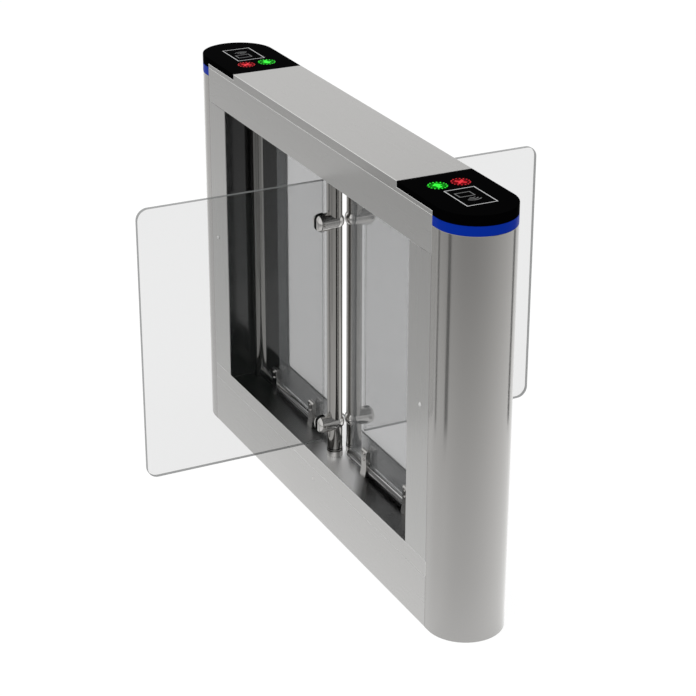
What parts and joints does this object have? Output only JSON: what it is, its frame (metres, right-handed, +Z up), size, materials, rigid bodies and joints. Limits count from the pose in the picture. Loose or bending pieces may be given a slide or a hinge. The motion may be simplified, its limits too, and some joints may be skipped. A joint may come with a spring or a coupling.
{
  "type": "swing barrier gate",
  "caption": "Slim steel pedestrian swing gate: a round-ended case with a glazed window, and clear leaves that turn on upright shafts out of both faces.",
  "frame": {"origin": "middle of the base, on the ground", "axes": "+X along the case towards its near end, +Y across it towards the back face, +Z up"},
  "size_m": [1.421, 1.048, 1.02],
  "materials": {
    "brushed_steel": "satin brushed stainless steel sheet",
    "polished_steel": "polished stainless steel",
    "plain_steel": "plain milled steel",
    "gloss_black": "gloss black cover panel",
    "blue_light": "blue light band",
    "green_light": "green signal lamp",
    "red_light": "red signal lamp",
    "grey_plastic": "dark grey moulded plastic",
    "motor_black": "black painted motor casing",
    "clear_glass": "clear leaf with polished edges",
    "grey_glass": "lightly tinted fixed pane"
  },
  "bodies": {
    "case": {"base_plate": "plain_steel", "column_near": "brushed_steel", "column_far": "brushed_steel", "light_band_near": "blue_light", "light_band_far": "blue_light", "front_fascia": "brushed_steel", "back_fascia": "brushed_steel", "front_post_near": "brushed_steel", "front_post_far": "brushed_steel", "back_post_near": "brushed_steel", "back_post_far": "brushed_steel", "front_sill_strip": "brushed_steel", "back_sill_strip": "brushed_steel", "sensor_eye_front_near": "grey_plastic", "sensor_eye_front_far": "grey_plastic", "sensor_eye_back_near": "grey_plastic", "sensor_eye_back_far": "grey_plastic", "window_sill": "polished_steel", "window_header": "polished_steel", "window_wall_near": "polished_steel", "window_wall_far": "polished_steel", "wall_tube_near": "polished_steel", "wall_tube_far": "polished_steel", "pane_near": "grey_glass", "pane_far": "grey_glass", "pane_rail_near": "polished_steel", "pane_rail_far": "polished_steel", "pane_clip_near_inner": "polished_steel", "pane_clip_near_outer": "polished_steel", "pane_clip_far_inner": "polished_steel", "pane_clip_far_outer": "polished_steel", "drive_frame": "plain_steel", "lower_bearing_block": "plain_steel", "upper_bearing_block": "plain_steel", "motor_front": "motor_black", "motor_back": "motor_black", "control_box": "grey_plastic", "power_supply": "grey_plastic"},
    "front_leaf": {"shaft_front": "polished_steel", "leaf_front": "clear_glass", "clamp_front_upper": "polished_steel", "clamp_front_lower": "polished_steel"},
    "back_leaf": {"shaft_back": "polished_steel", "leaf_back": "clear_glass", "clamp_back_upper": "polished_steel", "clamp_back_lower": "polished_steel"},
    "lid": {"top_lid": "brushed_steel", "display_cover_near": "gloss_black", "display_cover_far": "gloss_black", "go_lamp_near": "green_light", "go_lamp_far": "green_light", "stop_lamp_near": "red_light", "stop_lamp_far": "red_light", "card_reader_near": "grey_plastic", "card_reader_far": "grey_plastic"},
    "front_panel": {"front_kick_panel": "brushed_steel"},
    "back_panel": {"back_kick_panel": "brushed_steel"},
    "front_lock": {"front_panel_lock": "polished_steel"},
    "back_lock": {"back_panel_lock": "polished_steel"}
  },
  "joints": [
    {"name": "front_leaf_swing", "type": "hinge", "parent": "case", "child": "front_leaf", "pos_m": [0, -0.0265, 0.5], "axis": [0, 0, 1], "range_deg": [-90, 90]},
    {"name": "back_leaf_swing", "type": "hinge", "parent": "case", "child": "back_leaf", "pos_m": [0, 0.0265, 0.5], "axis": [0, 0, 1], "range_deg": [-90, 90]},
    {"name": "lid_lift", "type": "slide", "parent": "case", "child": "lid", "axis": [0, 0, 1], "range_m": [0, 0.15]},
    {"name": "front_panel_slide", "type": "slide", "parent": "case", "child": "front_panel", "axis": [0, -1, 0], "range_m": [0, 0.1]},
    {"name": "back_panel_slide", "type": "slide", "parent": "case", "child": "back_panel", "axis": [0, 1, 0], "range_m": [0, 0.1]},
    {"name": "front_lock_turn", "type": "hinge", "parent": "front_panel", "child": "front_lock", "pos_m": [0.012, -0.0925, 0.103], "axis": [0, -1, 0], "range_deg": [0, 90]},
    {"name": "back_lock_turn", "type": "hinge", "parent": "back_panel", "child": "back_lock", "pos_m": [-0.012, 0.0925, 0.103], "axis": [0, 1, 0], "range_deg": [0, 90]}
  ]
}
